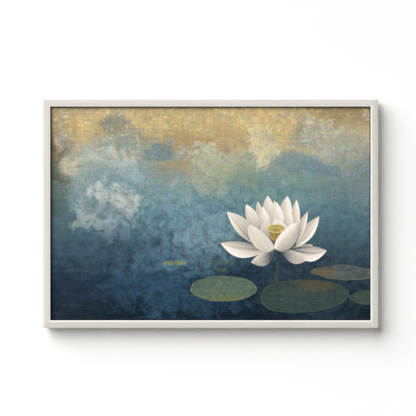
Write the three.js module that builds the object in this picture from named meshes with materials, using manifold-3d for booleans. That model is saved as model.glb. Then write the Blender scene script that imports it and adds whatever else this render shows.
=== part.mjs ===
// A framed picture for a wall: a painted canvas stretched over a softwood stretcher frame, held in a
// slim off-white wooden moulding with a bevelled sight edge, and hung from two hinged rings.
//
// Frame of the model: millimetres, +Z up, +X to the viewer's right, and the picture faces -Y.
// The plane y = 0 is the wall. The origin is in that plane, midway between the pivots of the two
// hanging rings. The four sides are built alike, as a "bottom" side in a frame centred on the picture,
// and then turned about Y into place: in that frame x runs along the side and the outer edge is at -z.

import * as THREE from "three";
import { mergeVertices } from "three/addons/utils/BufferGeometryUtils.js";
import Module from "manifold-3d";

const wasm = await Module();
wasm.setup();

// ---- Driving dimensions ---------------------------------------------------------------------------

const GAP = 0.3; // left between pieces that touch
const QUARTER = Math.PI / 2;

const SIGHT_WIDTH = 914; // the visible picture
const SIGHT_HEIGHT = 610;

const FACE = 21.5; // width of the moulding as seen from the front
const FRAME_DEPTH = 32;
const BEVEL_WIDTH = 4; // the sloping sight edge
const BEVEL_DROP = 0.6;
const LIP_DEPTH = 7.5; // front face to the rebate
const REBATE = 7; // width of the rebate that takes the canvas
const OUTER_ROUND = 0.8;
const MITRE_GAP = 0.1; // each rail stops this far short of the mitre plane

const BUMPER_RADIUS = 5;
const BUMPER_HEIGHT = 6.2;

const CANVAS_COVER = 5; // how far the lip covers the canvas, all round
const CANVAS_THICK = 0.8;
const FLAP_ALLOWANCE = 1.1; // canvas folded over the stretcher, with its gap

const BAR_WIDTH = 38;
const BAR_DEPTH = 18;
const BAR_BEAD = 5; // flat bead that alone touches the canvas
const BAR_FALL = 3; // how far the bar's front falls away behind that bead
const BAR_ROUND = 1.5;

const BRACE_WIDTH = 38;
const BRACE_DEPTH = 14;
const LAP_LENGTH = 14;
const LAP_DEPTH = 7;

const KEY_THICK = 4;
const KEY_INSET = 9; // how deep the key sits in its slot
const KEY_RUN = 14; // how far it reaches along the bar from the inner corner
const KEY_HEEL = 6; // how far its heel stands out of the bar
const KEY_TOE = 3;

const NAIL_LEG = 6; // corner nail, a thin strip folded to an L
const NAIL_THICK = 0.6;
const NAIL_DEPTH = 10;
const NAIL_INSET = 5; // from the frame's outer edges to the fold

const CLIP_WIDTH = 12;
const CLIP_THICK = 1.2;
const CLIP_START = 2; // from the frame's outer edge
const CLIP_REACH = 30;
const CLIP_HOLE_AT = 8;
const CLIP_WEB_END = 1.6; // its web passes between the rail and the canvas
const CLIP_SPOTS_LONG = 260; // each side of the middle, on the long rails
const CLIP_SPOTS_SHORT = 90; // the same on the short rails

const SHANK_RADIUS = 1.5;
const SHANK_LENGTH = 10;
const HEAD_RADIUS = 3;
const HEAD_HEIGHT = 1.6;

const STRAP_WIDTH = 8.4;
const STRAP_THICK = 1;
const STRAP_LENGTH = 34;
const STRAP_HOLES = [8, 24]; // from the ring's pivot
const RING_WIRE = 1; // radius
const RING_HALF_WIDTH = 5.5; // to the middle of the wire
const RING_SIDE = 6.5; // straight part of the ring's sides
const RING_CORNER = 1.6;
const CURL_END = THREE.MathUtils.degToRad(205); // where the strap's curl stops
const RING_LEAN = THREE.MathUtils.degToRad(6); // the ring leans on the rail behind it
const PIVOT_BELOW_TOP = 160; // pivots below the frame's top edge

// ---- Worked out from them -------------------------------------------------------------------------

const OUTER_WIDTH = SIGHT_WIDTH + 2 * FACE;
const OUTER_HEIGHT = SIGHT_HEIGHT + 2 * FACE;
const CANVAS_WIDTH = SIGHT_WIDTH + 2 * CANVAS_COVER;
const CANVAS_HEIGHT = SIGHT_HEIGHT + 2 * CANVAS_COVER;
const BAND = FACE - REBATE; // width of the rail behind the rebate

const BACK_Y = -(BUMPER_HEIGHT + GAP); // the frame's back face
const FRONT_Y = BACK_Y - FRAME_DEPTH;
const CANVAS_Y = FRONT_Y + LIP_DEPTH + GAP; // the painted face
const BAR_FRONT_Y = CANVAS_Y + CANVAS_THICK + GAP;
const BAR_BACK_Y = BAR_FRONT_Y + BAR_DEPTH;
const CANVAS_WRAP = CANVAS_THICK + GAP; // canvas round the outside of the bars

const CURL_RADIUS = RING_WIRE + GAP + STRAP_THICK; // outside of the strap's curl
const STRAP_Y = BACK_Y + GAP;
const PIVOT_Y = STRAP_Y + CURL_RADIUS;
const CENTRE_Z = PIVOT_BELOW_TOP - OUTER_HEIGHT / 2; // the picture's middle, seen from the origin

// ---- Materials ------------------------------------------------------------------------------------

const material = (color, roughness, metalness = 0) =>
  new THREE.MeshStandardMaterial({ color, roughness, metalness });

const FRAME_PAINT = material(0xd9d7ce, 0.55);
const PRINT = material(0x5f7f86, 0.8);
const PINE = material(0xd9b887, 0.75);
const BEECH = material(0xc89b66, 0.6);
const STEEL = material(0xb9bcc0, 0.35, 1);
const BRASS_PLATE = material(0xc9ad6a, 0.35, 1);
const RUBBER = material(0x2b2b2b, 0.9);

// ---- Solids ---------------------------------------------------------------------------------------

// A closed geometry as a manifold solid, for cutting and joining.
function solid(geometry) {
  const bare = geometry.clone();
  bare.deleteAttribute("normal");
  bare.deleteAttribute("uv");
  const merged = mergeVertices(bare, 1e-4);
  return new wasm.Manifold(
    new wasm.Mesh({
      numProp: 3,
      vertProperties: merged.attributes.position.array,
      triVerts: new Uint32Array(merged.index.array),
    }),
  );
}

// A manifold solid as a geometry again.
function geometryOf(made) {
  const { vertProperties, triVerts } = made.getMesh();
  return new THREE.BufferGeometry()
    .setAttribute("position", new THREE.BufferAttribute(vertProperties, 3))
    .setIndex(new THREE.BufferAttribute(triVerts, 1));
}

// The geometry with every cutter taken away.
function cut(geometry, cutters) {
  return geometryOf(cutters.reduce((left, cutter) => left.subtract(solid(cutter)), solid(geometry)));
}

// A box between two corners.
function boxBetween([x0, y0, z0], [x1, y1, z1]) {
  return new THREE.BoxGeometry(x1 - x0, y1 - y0, z1 - z0).translate(
    (x0 + x1) / 2,
    (y0 + y1) / 2,
    (z0 + z1) / 2,
  );
}

// An outline in the x, z plane made into a plate from y = front to y = back.
function plate(outline, front, back) {
  return new THREE.ExtrudeGeometry(outline, { depth: back - front, bevelEnabled: false, curveSegments: 8 })
    .rotateX(QUARTER)
    .translate(0, back, 0);
}

// An outline in the z, y plane made into a strip of that width, centred on x = middle.
function strip(outline, width, middle = 0) {
  return new THREE.ExtrudeGeometry(outline, { depth: width, bevelEnabled: false, curveSegments: 6 })
    .rotateY(-QUARTER)
    .translate(middle + width / 2, 0, 0);
}

// A length of moulding with both ends mitred. Its outline holds distance in from the outer edge, and y.
function mitred(outline, length, reach) {
  const rail = new THREE.ExtrudeGeometry(outline, { depth: 1, bevelEnabled: false, curveSegments: 4 });
  const place = rail.attributes.position;
  for (let i = 0; i < place.count; i++) {
    const half = length / 2 - MITRE_GAP - place.getX(i);
    place.setZ(i, place.getZ(i) > 0.5 ? half : -half);
  }
  return rail.rotateY(-QUARTER).translate(0, 0, -reach);
}

// A round hole for a screw, drilled along y.
function drill(x, z, front, back) {
  const radius = SHANK_RADIUS + GAP;
  return new THREE.CylinderGeometry(radius, radius, back - front, 12).translate(x, (front + back) / 2, z);
}

function outlineOf(points) {
  return new THREE.Shape(points.map(([x, y]) => new THREE.Vector2(x, y)));
}

// ---- The moulding ---------------------------------------------------------------------------------

function mouldingOutline() {
  const outline = new THREE.Shape();
  outline.moveTo(OUTER_ROUND, FRONT_Y);
  outline.lineTo(FACE - BEVEL_WIDTH, FRONT_Y);
  outline.lineTo(FACE, FRONT_Y + BEVEL_DROP);
  outline.lineTo(FACE, FRONT_Y + LIP_DEPTH);
  outline.lineTo(BAND, FRONT_Y + LIP_DEPTH);
  outline.lineTo(BAND, BACK_Y);
  outline.lineTo(0, BACK_Y);
  outline.lineTo(0, FRONT_Y + OUTER_ROUND);
  outline.absarc(OUTER_ROUND, FRONT_Y + OUTER_ROUND, OUTER_ROUND, Math.PI, 1.5 * Math.PI, false);
  return outline;
}

// The L of a corner nail, grown by clearance, with its fold at the right-hand end of a side.
function nailOutline(side, clearance) {
  const half = NAIL_THICK / 2 + clearance;
  const leg = NAIL_LEG + clearance;
  const x = side.length / 2 - NAIL_INSET;
  const z = -side.reach + NAIL_INSET;
  return outlineOf([
    [x + half, z - half],
    [x + half, z + leg],
    [x - half, z + leg],
    [x - half, z + half],
    [x - leg, z + half],
    [x - leg, z - half],
  ]);
}

function rail(side) {
  const screwEnd = BACK_Y - SHANK_LENGTH - GAP;
  const nailSlot = plate(nailOutline(side, GAP), BACK_Y - NAIL_DEPTH - GAP, BACK_Y + 1);
  const cutters = [nailSlot, mirrored(nailSlot)];
  for (const x of side.clips) cutters.push(drill(x, -side.reach + CLIP_HOLE_AT, screwEnd, BACK_Y + 1));
  for (const x of side.strapScrews) cutters.push(drill(x, -side.reach + BAND / 2, screwEnd, BACK_Y + 1));
  return cut(mitred(mouldingOutline(), side.length, side.reach), cutters);
}

// The same geometry at the other end of its side.
function mirrored(geometry) {
  return geometryOf(solid(geometry).mirror([1, 0, 0]));
}

// ---- The stretcher --------------------------------------------------------------------------------

function barOutline() {
  const outline = new THREE.Shape();
  outline.moveTo(BAR_ROUND, BAR_FRONT_Y);
  outline.lineTo(BAR_BEAD, BAR_FRONT_Y);
  outline.lineTo(BAR_WIDTH, BAR_FRONT_Y + BAR_FALL);
  outline.lineTo(BAR_WIDTH, BAR_BACK_Y);
  outline.lineTo(0, BAR_BACK_Y);
  outline.lineTo(0, BAR_FRONT_Y + BAR_ROUND);
  outline.absarc(BAR_ROUND, BAR_FRONT_Y + BAR_ROUND, BAR_ROUND, Math.PI, 1.5 * Math.PI, false);
  return outline;
}

function bar(side) {
  const slotMiddle = BAR_BACK_Y - BAR_DEPTH / 2;
  const slotHalf = KEY_THICK / 2 + GAP;
  const { x, z } = side.innerCorner;
  const keySlot = boxBetween(
    [x - KEY_RUN - GAP, slotMiddle - slotHalf, z - KEY_INSET - GAP],
    [x + KEY_INSET + GAP, slotMiddle + slotHalf, z + 1],
  );
  const cutters = [keySlot, mirrored(keySlot)];
  if (side.takesBrace) {
    const half = BRACE_WIDTH / 2 + GAP;
    cutters.push(
      boxBetween([-half, BAR_BACK_Y - LAP_DEPTH - GAP, z - LAP_LENGTH - GAP], [half, BAR_BACK_Y + 1, z + 1]),
      drill(0, z - LAP_LENGTH / 2, BAR_BACK_Y - SHANK_LENGTH - GAP, BAR_BACK_Y),
    );
  }
  return cut(mitred(barOutline(), side.barLength, side.barReach), cutters);
}

// A wedge that is tapped into the right-hand inner corner to tighten the canvas.
function cornerKey(side) {
  const { x, z } = side.innerCorner;
  const middle = BAR_BACK_Y - BAR_DEPTH / 2;
  const outline = outlineOf([
    [x + KEY_INSET - GAP, z - KEY_INSET],
    [x - KEY_RUN, z - KEY_INSET],
    [x - KEY_RUN, z + KEY_HEEL],
    [x - KEY_TOE - GAP, z + KEY_TOE],
  ]);
  return plate(outline, middle - KEY_THICK / 2, middle + KEY_THICK / 2);
}

function brace(innerHalf) {
  const back = BAR_BACK_Y;
  const end = innerHalf + LAP_LENGTH;
  const shoulder = innerHalf - GAP;
  const outline = outlineOf([
    [-end, back],
    [-end, back - LAP_DEPTH],
    [-shoulder, back - LAP_DEPTH],
    [-shoulder, back - BRACE_DEPTH],
    [shoulder, back - BRACE_DEPTH],
    [shoulder, back - LAP_DEPTH],
    [end, back - LAP_DEPTH],
    [end, back],
  ]);
  const holes = [-1, 1].map((s) =>
    drill(0, s * (innerHalf + LAP_LENGTH / 2), back - BRACE_DEPTH, back + 1),
  );
  return cut(strip(outline, BRACE_WIDTH), holes);
}

// ---- Fasteners ------------------------------------------------------------------------------------

// A pan-head screw with a cross recess. Its head sits on y = seat and its shank points at the viewer.
function screw(x, seat, z) {
  const tip = 3;
  const crown = 0.7;
  const blank = new THREE.LatheGeometry(
    [
      [0, -SHANK_LENGTH],
      [SHANK_RADIUS, tip - SHANK_LENGTH],
      [SHANK_RADIUS, 0],
      [HEAD_RADIUS, 0],
      [HEAD_RADIUS, HEAD_HEIGHT - crown],
      [HEAD_RADIUS * 0.75, HEAD_HEIGHT],
      [0, HEAD_HEIGHT],
    ].map(([r, y]) => new THREE.Vector2(r, y)),
    14,
  );
  const arm = 1.9;
  const half = 0.4;
  const floor = HEAD_HEIGHT - 1;
  const recess = [
    boxBetween([-arm, floor, -half], [arm, HEAD_HEIGHT + 1, half]),
    boxBetween([-half, floor, -arm], [half, HEAD_HEIGHT + 1, arm]),
  ];
  return cut(blank, recess).translate(x, seat, z);
}

// An offset clip: one foot screwed to the back of the rail, the other pressing on the stretcher bar.
function offsetClip(side, x) {
  const webEnd = BAND + CLIP_WEB_END;
  const webStart = webEnd - CLIP_THICK;
  const low = BAR_BACK_Y + FLAP_ALLOWANCE;
  const high = BACK_Y + GAP + CLIP_THICK;
  const outline = outlineOf(
    [
      [CLIP_START, high - CLIP_THICK],
      [webStart, high - CLIP_THICK],
      [webStart, low],
      [CLIP_REACH, low],
      [CLIP_REACH, low + CLIP_THICK],
      [webEnd, low + CLIP_THICK],
      [webEnd, high],
      [CLIP_START, high],
    ].map(([across, y]) => [across - side.reach, y]),
  );
  return cut(strip(outline, CLIP_WIDTH, x), [
    drill(x, -side.reach + CLIP_HOLE_AT, BACK_Y, high + 1),
  ]);
}

// ---- Hanging hardware -----------------------------------------------------------------------------

// The strap of a ring hanger, standing up from its tail, with its end curled round the ring's foot.
// Its pivot is at x = z = 0.
function strap() {
  const side = new THREE.Shape();
  const rear = STRAP_Y + STRAP_THICK;
  side.moveTo(-STRAP_LENGTH, STRAP_Y);
  side.lineTo(0, STRAP_Y);
  side.absarc(0, PIVOT_Y, CURL_RADIUS, -QUARTER, CURL_END, false);
  side.absarc(0, PIVOT_Y, CURL_RADIUS - STRAP_THICK, CURL_END, -QUARTER, true);
  side.lineTo(-STRAP_LENGTH, rear);
  const half = STRAP_WIDTH / 2;
  const tail = new THREE.Shape();
  tail.moveTo(-half, CURL_RADIUS + 1);
  tail.lineTo(-half, half - STRAP_LENGTH);
  tail.absarc(0, half - STRAP_LENGTH, half, Math.PI, 2 * Math.PI, false);
  tail.lineTo(half, CURL_RADIUS + 1);
  const blank = solid(strip(side, STRAP_WIDTH)).intersect(solid(plate(tail, BACK_Y, 0)));
  const holes = STRAP_HOLES.map((down) => drill(0, -down, STRAP_Y - 1, rear + 1));
  return cut(geometryOf(blank), holes);
}

// The D-shaped ring, standing up from its pivot and leaning on the rail.
function ring() {
  const half = RING_HALF_WIDTH;
  const path = new THREE.Path();
  path.moveTo(0, 0);
  path.lineTo(half - RING_CORNER, 0);
  path.absarc(half - RING_CORNER, RING_CORNER, RING_CORNER, -QUARTER, 0, false);
  path.lineTo(half, RING_SIDE);
  path.absarc(0, RING_SIDE, half, 0, Math.PI, false);
  path.lineTo(-half, RING_CORNER);
  path.absarc(RING_CORNER - half, RING_CORNER, RING_CORNER, Math.PI, 1.5 * Math.PI, false);
  path.lineTo(0, 0);
  const steps = 44;
  const points = path.getSpacedPoints(steps).slice(0, steps);
  const line = new THREE.CatmullRomCurve3(
    points.map(({ x, y }) => new THREE.Vector3(x, 0, y)),
    true,
  );
  return new THREE.TubeGeometry(line, steps, RING_WIRE, 8, true).rotateX(RING_LEAN).translate(0, PIVOT_Y, 0);
}

// A domed bumper that keeps the frame's back off the wall.
function bumper(x, z) {
  const waist = BUMPER_HEIGHT * 0.75;
  const footprint = BUMPER_RADIUS * 0.7;
  const profile = new THREE.Path();
  profile.moveTo(0, 0);
  profile.lineTo(BUMPER_RADIUS, 0);
  profile.lineTo(BUMPER_RADIUS * 0.96, waist);
  profile.quadraticCurveTo(BUMPER_RADIUS * 0.94, BUMPER_HEIGHT, footprint, BUMPER_HEIGHT);
  profile.lineTo(0, BUMPER_HEIGHT);
  return new THREE.LatheGeometry(profile.getPoints(4), 20).translate(x, BACK_Y + GAP, z);
}

// ---- Assembly -------------------------------------------------------------------------------------

const picture = new THREE.Group();
picture.position.z = CENTRE_Z;

function add(parent, name, geometry, finish) {
  const mesh = new THREE.Mesh(geometry, finish);
  mesh.name = name;
  parent.add(mesh);
  return mesh;
}

const pivotHeight = -CENTRE_Z; // above the picture's middle
const strapScrewHeights = STRAP_HOLES.map((down) => pivotHeight - down);

const SIDES = [
  { name: "bottom", turn: 0, long: true, next: "bottom_right" },
  { name: "right", turn: -QUARTER, long: false, next: "top_right" },
  { name: "top", turn: 2 * QUARTER, long: true, next: "top_left" },
  { name: "left", turn: QUARTER, long: false, next: "bottom_left" },
].map((side) => {
  const spot = side.long ? CLIP_SPOTS_LONG : CLIP_SPOTS_SHORT;
  const length = side.long ? OUTER_WIDTH : OUTER_HEIGHT;
  const reach = (side.long ? OUTER_HEIGHT : OUTER_WIDTH) / 2;
  const barLength = (side.long ? CANVAS_WIDTH : CANVAS_HEIGHT) - 2 * CANVAS_WRAP;
  const barReach = (side.long ? CANVAS_HEIGHT : CANVAS_WIDTH) / 2 - CANVAS_WRAP;
  const upward = side.name === "right" ? 1 : -1; // x of an upright side runs up on the right, down on the left
  return {
    ...side,
    length,
    reach,
    barLength,
    barReach,
    innerCorner: { x: barLength / 2 - BAR_WIDTH, z: BAR_WIDTH - barReach },
    clips: [-spot, spot],
    strapScrews: side.long ? [] : strapScrewHeights.map((height) => upward * height),
    takesBrace: side.long,
  };
});

for (const side of SIDES) {
  const group = new THREE.Group();
  group.rotation.y = side.turn;
  picture.add(group);
  add(group, `frame_rail_${side.name}`, rail(side), FRAME_PAINT);
  add(group, `stretcher_bar_${side.name}`, bar(side), PINE);
  add(group, `corner_nail_${side.next}`, plate(nailOutline(side, 0), BACK_Y - NAIL_DEPTH, BACK_Y), STEEL);
  const key = cornerKey(side);
  add(group, `corner_key_${side.name}_a`, key, BEECH);
  add(group, `corner_key_${side.name}_b`, mirrored(key), BEECH);
  side.clips.forEach((x, i) => {
    const mark = "ab"[i];
    add(group, `offset_clip_${side.name}_${mark}`, offsetClip(side, x), STEEL);
    const seat = BACK_Y + GAP + CLIP_THICK + GAP;
    add(group, `clip_screw_${side.name}_${mark}`, screw(x, seat, -side.reach + CLIP_HOLE_AT), STEEL);
  });
}

const braceReach = SIDES[0].barReach - BAR_WIDTH;
add(picture, "centre_brace", brace(braceReach), PINE);
for (const [name, s] of [
  ["top", 1],
  ["bottom", -1],
])
  add(picture, `brace_screw_${name}`, screw(0, BAR_BACK_Y + GAP, s * (braceReach + LAP_LENGTH / 2)), STEEL);

const canvas = boxBetween(
  [-CANVAS_WIDTH / 2, CANVAS_Y, -CANVAS_HEIGHT / 2],
  [CANVAS_WIDTH / 2, CANVAS_Y + CANVAS_THICK, CANVAS_HEIGHT / 2],
);
add(picture, "canvas", canvas, PRINT);

for (const [name, s] of [
  ["left", -1],
  ["right", 1],
]) {
  const x = s * (OUTER_WIDTH / 2 - BAND / 2);
  const hanger = new THREE.Group();
  hanger.position.set(x, 0, pivotHeight);
  picture.add(hanger);
  add(hanger, `hanger_strap_${name}`, strap(), BRASS_PLATE);
  add(hanger, `hanging_ring_${name}`, ring(), BRASS_PLATE);
  STRAP_HOLES.forEach((down, i) =>
    add(hanger, `strap_screw_${name}_${"ab"[i]}`, screw(0, STRAP_Y + STRAP_THICK + GAP, -down), BRASS_PLATE),
  );
  for (const [level, t] of [
    ["top", 1],
    ["bottom", -1],
  ])
    add(picture, `bumper_${level}_${name}`, bumper(x, t * (OUTER_HEIGHT / 2 - 2 * FACE)), RUBBER);
}

export default picture;
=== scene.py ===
# %% [markdown]
# # A framed canvas painting
#
# The object is a picture: a cotton canvas stretched on a pine frame, painted with a lotus on dark
# water, and set in a slim off-white moulding. The construction (rails, stretcher, clips, screws and
# hanging rings) is loaded as it is. This lesson gives it its finish: the moulding's soft edges, the
# wrapped and stapled cloth, the painting itself and a surface for every piece of wood and metal.

# %% Load the construction
import math
import random

import bmesh
import bpy
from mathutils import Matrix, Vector


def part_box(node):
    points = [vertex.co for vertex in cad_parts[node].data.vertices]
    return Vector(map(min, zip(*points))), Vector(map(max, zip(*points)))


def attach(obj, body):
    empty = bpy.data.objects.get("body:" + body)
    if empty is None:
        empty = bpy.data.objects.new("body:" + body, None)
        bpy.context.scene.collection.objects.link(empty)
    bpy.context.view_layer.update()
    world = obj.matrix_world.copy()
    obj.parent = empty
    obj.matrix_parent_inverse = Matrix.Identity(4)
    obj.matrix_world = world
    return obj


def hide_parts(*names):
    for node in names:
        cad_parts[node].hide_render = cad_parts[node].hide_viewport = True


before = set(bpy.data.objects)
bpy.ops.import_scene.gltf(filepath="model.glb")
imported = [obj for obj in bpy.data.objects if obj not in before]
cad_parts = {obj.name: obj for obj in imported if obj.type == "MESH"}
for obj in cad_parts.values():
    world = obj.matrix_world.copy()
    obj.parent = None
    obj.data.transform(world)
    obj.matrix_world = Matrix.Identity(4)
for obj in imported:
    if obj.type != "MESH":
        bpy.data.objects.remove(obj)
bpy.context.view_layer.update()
BODY = "framed_picture"
MM = 0.001

# %% [markdown]
# Every size below comes from the construction. The canvas gives the picture's middle and its painted
# face, and the rails give the moulding's outer edges. Y points into the wall, so "towards the viewer"
# is always a smaller Y.

# %% Measure the frame and the canvas
canvas_low, canvas_high = (Vector(corner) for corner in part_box("canvas"))
rail_low, rail_high = (Vector(corner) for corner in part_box("frame_rail_bottom"))
bar_low, bar_high = (Vector(corner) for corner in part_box("stretcher_bar_bottom"))

middle = (canvas_low + canvas_high) / 2
painted_face = canvas_low.y
FACE_WIDTH = rail_high.z - rail_low.z
CANVAS_COVER = 5 * MM
sight_half = Vector(((canvas_high.x - canvas_low.x) / 2 - CANVAS_COVER, 0,
                     (canvas_high.z - canvas_low.z) / 2 - CANVAS_COVER))
outer_half = Vector((sight_half.x + FACE_WIDTH, 0, sight_half.z + FACE_WIDTH))
print("visible picture, mm:", round(sight_half.x * 2000), "x", round(sight_half.z * 2000))

# %% [markdown]
# ## Tools for shaders
#
# A material in Blender is a small network of nodes. Writing one by hand in Python gets long, so these
# few helpers add a node, fill its inputs with numbers or with other nodes' sockets, and hand back the
# socket that comes out. A colour is written as it looks on screen and turned into the linear numbers
# that Cycles works with.

# %% Helpers that add shader nodes
def colour(code):
    """A colour such as "d9d7ce" as linear red, green, blue and alpha."""
    parts = [int(code[i:i + 2], 16) / 255 for i in (0, 2, 4)]
    return [p / 12.92 if p <= 0.04045 else ((p + 0.055) / 1.055) ** 2.4 for p in parts] + [1.0]


def plug(tree, value, socket):
    """Link another node's socket, or set a plain value."""
    if isinstance(value, bpy.types.NodeSocket):
        tree.links.new(value, socket)
    else:
        socket.default_value = value


def add(tree, kind, inputs=None, **settings):
    """Add one shader node with its options and inputs."""
    made = tree.nodes.new("ShaderNode" + kind)
    for option, value in settings.items():
        setattr(made, option, value)
    for name, value in (inputs or {}).items():
        plug(tree, value, made.inputs[name])
    return made


def calc(tree, operation, a, b=0.0, c=0.0):
    return add(tree, "Math", {0: a, 1: b, 2: c}, operation=operation).outputs[0]


def vector_calc(tree, operation, a, b):
    return add(tree, "VectorMath", {0: a, 1: b}, operation=operation).outputs[0]


def step(tree, value, low, high, start=0.0, end=1.0):
    """A smooth step from start to end while value goes from low to high."""
    numbers = {"Value": value, "From Min": low, "From Max": high, "To Min": start, "To Max": end}
    return add(tree, "MapRange", numbers, interpolation_type="SMOOTHSTEP").outputs[0]


def mix(tree, factor, a, b, blend="MIX"):
    made = add(tree, "Mix", {0: factor, 6: a, 7: b}, data_type="RGBA", blend_type=blend)
    return made.outputs[2]


def ramp(tree, value, stops):
    """A colour ramp. stops holds (position, colour code) pairs."""
    made = add(tree, "ValToRGB", {"Fac": value})
    elements = made.color_ramp.elements
    while len(elements) < len(stops):
        elements.new(0.5)
    for element, (position, code) in zip(elements, stops):
        element.position = position
    for element, (position, code) in zip(elements, stops):
        element.color = colour(code)
    return made.outputs[0]


def noise(tree, place, scale, detail=4.0, roughness=0.55):
    inputs = {"Vector": place, "Scale": scale, "Detail": detail, "Roughness": roughness}
    return add(tree, "TexNoise", inputs).outputs[0]


def stretched(tree, place, scales):
    """The place with each axis scaled by its own factor, for streaks and grain."""
    return vector_calc(tree, "MULTIPLY", place, scales)


def bump(tree, height, strength, distance, normal=None):
    inputs = {"Height": height, "Strength": strength, "Distance": distance}
    if normal is not None:
        inputs["Normal"] = normal
    return add(tree, "Bump", inputs).outputs[0]


print("off-white, linear:", [round(part, 3) for part in colour("d9d7ce")])

# %% [markdown]
# A **node group** is a network with a name and sockets of its own, so that several materials can use
# one effect with different values. Only values, colours and normals come out of these groups. The
# shader itself always stays in the material.

# %% Helpers that make groups and materials
SOCKETS = {"value": "NodeSocketFloat", "vector": "NodeSocketVector", "colour": "NodeSocketColor"}


def new_group(name, takes, gives):
    """An empty group. takes holds (name, kind, default) and gives holds (name, kind)."""
    tree = bpy.data.node_groups.new(name, "ShaderNodeTree")
    for label, kind, default in takes:
        socket = tree.interface.new_socket(label, in_out="INPUT", socket_type=SOCKETS[kind])
        socket.default_value = default
    for label, kind in gives:
        tree.interface.new_socket(label, in_out="OUTPUT", socket_type=SOCKETS[kind])
    return tree, tree.nodes.new("NodeGroupInput").outputs, tree.nodes.new("NodeGroupOutput").inputs


def use(tree, group, inputs):
    """Put a group into a material or another group."""
    made = tree.nodes.new("ShaderNodeGroup")
    made.node_tree = group
    for name, value in inputs.items():
        plug(tree, value, made.inputs[name])
    return made.outputs


def new_material(name, **sockets):
    """A material with one Principled shader. Returns it with its tree and the shader's inputs."""
    material = bpy.data.materials.new(name)
    material.use_nodes = True
    tree = material.node_tree
    tree.nodes.clear()
    shader = add(tree, "BsdfPrincipled", sockets)
    add(tree, "OutputMaterial", {"Surface": shader.outputs[0]})
    return material, tree, shader.inputs


def object_place(tree):
    return add(tree, "TexCoord").outputs["Object"]


print("helpers ready")

# %% [markdown]
# ## Shared effects
#
# *Linen weave* is two sets of threads that cross. *Wood grain* is noise pulled out along the length of
# the board, with a wave through it for the growth rings. *Handling* is a cloudy mask for the small
# changes of gloss that fingers, dust and polish leave on any surface.

# %% Group: linen weave
def linen_weave():
    tree, take, give = new_group(
        "Linen weave",
        [("Place", "vector", (0, 0, 0)), ("Threads per metre", "value", 1000.0)],
        [("Height", "value"), ("Slubs", "value")])
    slub = noise(tree, stretched(tree, take["Place"], (40, 900, 1)), 1.0, 2.0)
    cross_slub = noise(tree, stretched(tree, take["Place"], (900, 40, 1)), 1.0, 2.0)
    axes = add(tree, "SeparateXYZ", {0: take["Place"]}).outputs
    phase = [calc(tree, "MULTIPLY", calc(tree, "MULTIPLY", axis, take["Threads per metre"]), math.pi)
             for axis in axes[:2]]
    weft = calc(tree, "ABSOLUTE", calc(tree, "SINE", phase[0]))
    warp = calc(tree, "ABSOLUTE", calc(tree, "SINE", phase[1]))
    threads = calc(tree, "MAXIMUM", weft, warp)
    slubs = calc(tree, "ADD", slub, cross_slub)
    plug(tree, calc(tree, "MULTIPLY", threads, slubs), give["Height"])
    plug(tree, calc(tree, "MULTIPLY", slubs, 0.5), give["Slubs"])
    return tree


LINEN_WEAVE = linen_weave()


# %% Group: wood grain
def wood_grain():
    tree, take, give = new_group(
        "Wood grain",
        [("Place", "vector", (0, 0, 0)), ("Ring spacing", "value", 0.006)],
        [("Tone", "value"), ("Height", "value")])
    # Place comes in with X along the board.
    drift = noise(tree, stretched(tree, take["Place"], (3, 22, 22)), 1.0, 3.0)
    axes = add(tree, "SeparateXYZ", {0: take["Place"]}).outputs
    across = calc(tree, "ADD", calc(tree, "MULTIPLY", axes[2], 0.8), axes[1])
    swept = calc(tree, "MULTIPLY_ADD", drift, 0.05, across)
    turns = calc(tree, "DIVIDE", swept, take["Ring spacing"])
    rings = calc(tree, "SINE", calc(tree, "MULTIPLY", turns, math.tau))
    fibre = noise(tree, stretched(tree, take["Place"], (25, 1400, 1400)), 1.0, 3.0, 0.7)
    tone = calc(tree, "ADD", calc(tree, "MULTIPLY_ADD", rings, 0.22, 0.3),
                calc(tree, "MULTIPLY", fibre, 0.45))
    plug(tree, tone, give["Tone"])
    plug(tree, calc(tree, "MULTIPLY_ADD", rings, 0.15, fibre), give["Height"])
    return tree


WOOD_GRAIN = wood_grain()


# %% Group: handling
def handling():
    tree, take, give = new_group(
        "Handling",
        [("Place", "vector", (0, 0, 0)), ("Patches per metre", "value", 30.0),
         ("Low", "value", 0.3), ("High", "value", 0.5)],
        [("Value", "value")])
    cloudy = noise(tree, take["Place"], take["Patches per metre"], 6.0, 0.65)
    numbers = {"Value": cloudy, "From Min": 0.3, "From Max": 0.7, "To Min": take["Low"],
               "To Max": take["High"]}
    plug(tree, add(tree, "MapRange", numbers).outputs[0], give["Value"])
    return tree


HANDLING = handling()
print("groups:", [group.name for group in bpy.data.node_groups])

# %% [markdown]
# ## The picture's own coordinates
#
# The painting is made from masks laid out on the canvas like a sketch: across is X, up is Z, and the
# middle of the picture is zero. *Picture place* turns the object's coordinates into that flat system,
# in metres. *Ragged patch* is one touch of a dry brush: a soft ellipse whose edge is broken up by a
# noise, so that it reads as cloud, foliage or a patch of light.

# %% Group: picture place
def picture_place():
    tree, take, give = new_group("Picture place", [("Position", "vector", (0, 0, 0))],
                                 [("Place", "vector"), ("Height", "value")])
    moved = vector_calc(tree, "SUBTRACT", take["Position"], tuple(middle))
    axes = add(tree, "SeparateXYZ", {0: moved}).outputs
    plug(tree, add(tree, "CombineXYZ", {"X": axes["X"], "Y": axes["Z"]}).outputs[0], give["Place"])
    up = calc(tree, "MULTIPLY_ADD", axes["Z"], 0.5 / sight_half.z, 0.5)
    plug(tree, up, give["Height"])
    return tree


PICTURE_PLACE = picture_place()


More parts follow.
